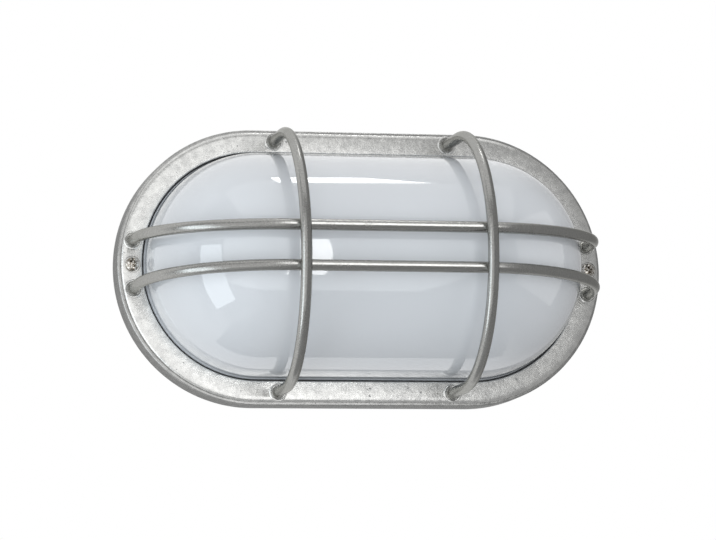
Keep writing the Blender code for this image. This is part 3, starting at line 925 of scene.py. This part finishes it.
# %% Hand the finishes out
inner_finishes = {
    "glass_seal": grey_rubber,
    "ledge_seal": black_rubber,
    "cable_grommet": black_rubber,
    "lampholder_bracket": zinc_steel,
    "bracket_screw_lower": zinc_steel,
    "bracket_screw_upper": zinc_steel,
    "holder_screw_lower": zinc_steel,
    "holder_screw_upper": zinc_steel,
    "lampholder_body": porcelain,
    "lampholder_shell": shell_nickel,
    "lampholder_centre_contact": brass,
    "bulb": bulb_glass,
    "terminal_block": white_plastic,
    "terminal_block_screw": zinc_steel,
    "earth_screw": zinc_steel,
    "earth_washer": brass,
}
for number in range(1, 7):
    inner_finishes[f"terminal_screw_{number}"] = brass
for name, finish in inner_finishes.items():
    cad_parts[name].material_slots[0].material = finish
print("inner pieces with a finish:", len(inner_finishes))

# %% [markdown]
# ## The floor
# The lamp hangs free, as it does in the photograph, above a plain pale floor. The floor
# lies well below the camera, so in the main view only the white surroundings show. Its
# colour is lifted a little for the camera alone, and it still takes the lamp's shadow.

# %% Pale floor
floor_level = -1.0
floor_half = 0.56
floor_form = bmesh.new()
bmesh.ops.create_grid(floor_form, x_segments=1, y_segments=1, size=floor_half)
bmesh.ops.translate(floor_form, vec=(0, 0, floor_level), verts=floor_form.verts)
floor = mesh_object("floor", floor_form)
floor_finish = new_finish("pale_floor", (0.86, 0.86, 0.86), metallic=0, roughness=0.7)
floor_grain = noise(floor_finish, places(floor_finish), scale=40, detail=2)
wear(floor_finish, ramp(floor_finish, floor_grain, [(0, 0.84), (1, 0.88)]))
floor.data.materials.append(floor_finish)

# %% Lift of the floor for the camera
floor_lift = 0.42
floor_shader = shader_of(floor_finish)
floor_look = add_node(floor_finish, "ShaderNodeLightPath")
lifted = add_node(floor_finish, "ShaderNodeMath", operation="MULTIPLY")
lifted.inputs[1].default_value = floor_lift
connect(floor_finish, floor_look.outputs["Is Camera Ray"], lifted.inputs[0])
floor_shader.inputs["Emission Color"].default_value = (1, 1, 1, 1)
connect(floor_finish, lifted.outputs[0], floor_shader.inputs["Emission Strength"])
print("floor lift:", floor_lift)

# %% [markdown]
# ## White surroundings
# The surroundings are white where the camera looks at them, and where metal or glass
# mirrors what is behind the lamp. That mirrored white fades out towards the right, where
# the room is darker. The room in front of the lamp is greyer, as a studio is, and that is
# also the soft light that the surfaces get, so that the softboxes can shape them. Real
# walls would throw the softboxes' light back on the lamp, so the world's own nodes do it.

# %% Nodes of the world
world = bpy.data.worlds.new("white_room")
bpy.context.scene.world = world
world.use_nodes = True
sky = world.node_tree
sky.nodes.clear()


def sky_math(operation, first, second):
    """A maths node of the world between two sockets."""
    node = sky.nodes.new("ShaderNodeMath")
    node.operation = operation
    sky.links.new(first, node.inputs[0])
    sky.links.new(second, node.inputs[1])
    return node.outputs[0]


def sky_fade(source, start, end):
    """Goes softly from 0 to 1 while the source goes from start to end."""
    node = sky.nodes.new("ShaderNodeMapRange")
    node.interpolation_type = "SMOOTHSTEP"
    node.inputs["From Min"].default_value = start
    node.inputs["From Max"].default_value = end
    sky.links.new(source, node.inputs["Value"])
    return node.outputs[0]


def white_light(strength):
    node = sky.nodes.new("ShaderNodeBackground")
    node.inputs["Color"].default_value = (1, 1, 1, 1)
    node.inputs["Strength"].default_value = strength
    return node.outputs[0]

# %% World
soft_level = 0.36
white_level = 1
behind_start = -0.2
behind_end = 0.3
left_start = 0.65
left_end = 0.20

look = sky.nodes.new("ShaderNodeLightPath")
direction = sky.nodes.new("ShaderNodeTexCoord")
axes = sky.nodes.new("ShaderNodeSeparateXYZ")
sky.links.new(direction.outputs["Generated"], axes.inputs["Vector"])
behind = sky_fade(axes.outputs["Y"], behind_start, behind_end)
to_left = sky_fade(axes.outputs["X"], left_start, left_end)
mirrored = sky_math("MAXIMUM", look.outputs["Is Glossy Ray"], look.outputs["Is Transmission Ray"])
backdrop = sky_math("MULTIPLY", mirrored, sky_math("MULTIPLY", behind, to_left))
shown_white = sky_math("MAXIMUM", look.outputs["Is Camera Ray"], backdrop)

either = sky.nodes.new("ShaderNodeMixShader")
sky.links.new(shown_white, either.inputs[0])
sky.links.new(white_light(soft_level), either.inputs[1])
sky.links.new(white_light(white_level), either.inputs[2])
out = sky.nodes.new("ShaderNodeOutputWorld")
sky.links.new(either.outputs[0], out.inputs["Surface"])
print("soft level of the room:", soft_level)

# %% [markdown]
# ## Soft lamps
# Softboxes are what a glossy dome mirrors, so each one is placed by the mark it leaves. A
# tall one close on the left draws the curved patch on the end of the glass, and a small one
# overhead the thin band along its top. Three wide weak ones fill in the rest. The strength
# of each is given as the brightness of its face, because that is what the glass shows.

# %% Softboxes
def softbox(name, place, aim, size, radiance, colour=(1, 1, 1)):
    """A rectangular lamp that gives this radiance over its face."""
    width, height = size
    lamp = bpy.data.lights.new(name, "AREA")
    lamp.shape = "RECTANGLE"
    lamp.size = width
    lamp.size_y = height
    lamp.energy = radiance * pi * width * height
    lamp.color = colour
    holder = bpy.data.objects.new(name, lamp)
    bpy.context.collection.objects.link(holder)
    holder.location = place
    holder.rotation_euler = (Vector(aim) - Vector(place)).to_track_quat("-Z", "Y").to_euler()
    holder.visible_camera = False
    print("softbox:", name)
    return holder

# %% Lamps of the room
lamp_middle = (0.0, -0.04, 0.0)
left_blue = (0.87, 0.95, 1.0)

softbox("left_box", (-0.894, -0.384, -0.277), (-0.09, -0.075, -0.014), (0.42, 1.08), 2.15, left_blue)
softbox("top_band", (0.182, 0.024, 1.0), (-0.02, -0.07, 0.04), (0.127, 0.139), 6.0)
softbox("overhead", (0.0, -0.35, 0.75), lamp_middle, (1.0, 0.7), 0.52)
softbox("low_left", (-0.6, -0.45, -0.75), (-0.02, -0.03, -0.02), (1.0, 0.8), 0.20)
softbox("top_left", (-0.75, -0.3, 0.65), lamp_middle, (0.8, 0.8), 0.22)

# %% [markdown]
# ## Flagged softboxes
# In a studio, a black flag between a lamp and a piece keeps that piece from mirroring it.
# Light linking does that here, so each of these lamps lights only the pieces named with it.
# The glass gets two wide even boxes, and a narrow strip that draws the small patch in its
# middle; the seal around the dome is lit with it. The flat ring mirrors one wide wall on its
# left and two small ones, and the darker room beside them. The wires get small bright lamps
# for the line of light along them, and a wide weak one. The wires also keep none of the wide
# box's light from the glass, because in the photograph they throw no shadow on it.

# %% Groups of pieces
meshes = [piece for piece in bpy.data.objects if piece.type == "MESH" and piece != floor]
glass_pieces = [piece for piece in meshes if "glass" in piece.name]
wires = [piece for piece in meshes if "hoop" in piece.name or "wire" in piece.name]
long_wires = [piece for piece in wires if "long" in piece.name]
hoops = [piece for piece in wires if "hoop" in piece.name]
metal = [piece for piece in meshes if piece not in glass_pieces and piece not in wires]
print("glass pieces:", len(glass_pieces), " wires:", len(wires), " other pieces:", len(metal))

# %% Lamps for some pieces only
def piece_group(name, pieces):
    group = bpy.data.collections.new(name)
    for piece in pieces:
        group.objects.link(piece)
    return group


def lit_by(lamp, pieces):
    """The lamp lights these pieces alone."""
    lamp.light_linking.receiver_collection = piece_group(lamp.name + "_lights", pieces)


def wall_box(name, x, up, distance, size, radiance, colour=(1, 1, 1)):
    """A softbox that faces the wall squarely, at this distance from it."""
    return softbox(name, (x, -distance, up), (x, 0, up), size, radiance, colour)

# %% Lamps of the glass
dome_blue = (0.94, 0.98, 1.0)
dome_fill = wall_box("dome_fill", -0.35, -0.085, 0.64, (1.10, 0.83), 0.83, dome_blue)
lit_by(dome_fill, glass_pieces)
dome_right = softbox("dome_right", (0.95, -0.45, 0.1), lamp_middle, (1.3, 1.4), 0.52)
lit_by(dome_right, glass_pieces)
dome_fill.light_linking.blocker_collection = piece_group("dome_fill_shadows", glass_pieces + metal)
patch_lamp = wall_box("patch_lamp", 0.0035, -0.0163, 0.30, (0.024, 0.179), 5.2)
patch_lamp.visible_diffuse = False
lit_by(patch_lamp, glass_pieces)

# %% Lamps of the ring and the wires
wall_distance = 0.62
flagged_boxes = (
    # name, x, up, size, radiance, pieces
    ("left_wall", -0.435, -0.085, (0.93, 0.83), 0.77, metal),
    ("low_wall", 0.110, -0.22, (0.16, 0.56), 1.40, metal),
    ("high_wall", 0.080, 0.195, (0.10, 0.27), 0.76, metal),
    ("wire_lamp", 0.16, 0.22, (0.34, 0.42), 2.8, long_wires),
    ("hoop_lamp", -0.66, -0.05, (0.26, 0.90), 1.4, hoops),
    ("wire_fill", -0.45, -0.10, (0.90, 0.90), 0.46, wires),
)
for name, x, up, size, radiance, pieces in flagged_boxes:
    lit_by(wall_box(name, x, up, wall_distance, size, radiance), pieces)

# %% [markdown]
# ## The camera
# The photograph was taken from about two metres with a long lens, a little from below and
# from the left. The place and the turn of the camera come from fitting the outline of the
# lamp, the feet of its wires and their crossings, which is surer than turning it by eye.

# %% Directions of the camera
azimuth = radians(-13.45)
elevation = radians(-8.33)
roll = radians(-1.21)

back = Vector((sin(azimuth) * cos(elevation), -cos(azimuth) * cos(elevation), sin(elevation)))
level_right = (-back).cross(Vector((0, 0, 1))).normalized()
level_up = level_right.cross(-back)
right = cos(roll) * level_right + sin(roll) * level_up
upward = cos(roll) * level_up - sin(roll) * level_right
turned = Matrix((right, upward, back)).transposed().to_4x4()
print("camera looks along:", -back)

# %% Camera
camera_distance = 2.1023
target = Vector((0.00136, 0, 0.00133))
focal_pixels = 3828.9
image_width = 716
sensor_width = 36
far_enough = 50

lens = bpy.data.cameras.new("camera")
lens.sensor_fit = "HORIZONTAL"
lens.sensor_width = sensor_width
lens.lens = focal_pixels * sensor_width / image_width
lens.clip_end = far_enough
camera = bpy.data.objects.new("camera", lens)
bpy.context.collection.objects.link(camera)
camera.matrix_world = Matrix.Translation(target + camera_distance * back) @ turned
bpy.context.scene.camera = camera
bpy.context.scene.view_settings.view_transform = "Standard"
print("lens:", round(lens.lens, 1), "mm")
